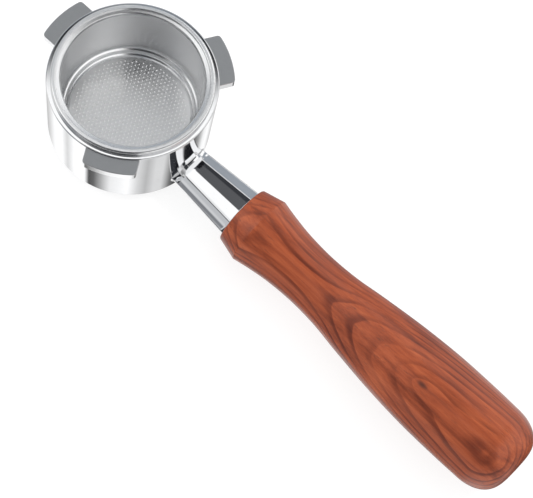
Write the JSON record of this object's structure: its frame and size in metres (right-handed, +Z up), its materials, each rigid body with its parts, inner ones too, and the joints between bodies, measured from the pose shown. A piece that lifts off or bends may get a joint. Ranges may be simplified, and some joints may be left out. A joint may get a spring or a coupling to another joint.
{
  "type": "portafilter",
  "caption": "Bottomless portafilter: open steel ring with bayonet lugs, lift-out perforated basket, channelled neck and turned wooden screw-on handle.",
  "frame": {"origin": "on the ring's axis at the height of its rim, where the group head's bore is centred", "axes": "+Z up along the ring's axis into the group head; +X towards the handle; +Y completes a right-handed frame"},
  "size_m": [0.2386, 0.0736, 0.0563],
  "materials": {
    "polished_steel": "mirror-polished cast stainless steel",
    "lug_steel": "machined matt grey top faces",
    "wire_steel": "drawn spring wire",
    "basket_steel": "bright pressed stainless sheet, perforated floor",
    "stud_steel": "zinc-plated threaded rod",
    "washer_rubber": "matt black",
    "brass": "turned",
    "wood": "oiled red-brown rosewood, satin gloss"
  },
  "bodies": {
    "holder": {"ring_body": "polished_steel", "lug_right": "lug_steel", "lug_rear": "lug_steel", "lug_left": "lug_steel", "basket_spring": "wire_steel", "neck": "polished_steel", "handle_stud": "stud_steel"},
    "basket": {"filter_basket": "basket_steel"},
    "washer": {"seat_washer": "washer_rubber"},
    "handle": {"handle_grip": "wood", "handle_insert": "brass"}
  },
  "joints": [
    {"name": "basket_lift", "type": "slide", "parent": "holder", "child": "basket", "axis": [0, 0, 1], "range_m": [0, 0.06]},
    {"name": "washer_slide", "type": "slide", "parent": "holder", "child": "washer", "axis": [0.9984, 0, -0.0558], "range_m": [0, 0.0201]},
    {"name": "handle_unscrew", "type": "hinge", "parent": "washer", "child": "handle", "pos_m": [0.05931, 0, -0.03022], "axis": [0.9984, 0, -0.0558], "range_deg": [0, 4800]}
  ],
  "couplings": [
    {"joint": "washer_slide", "follows": "handle_unscrew", "m_per_rad": 0.00023873}
  ]
}
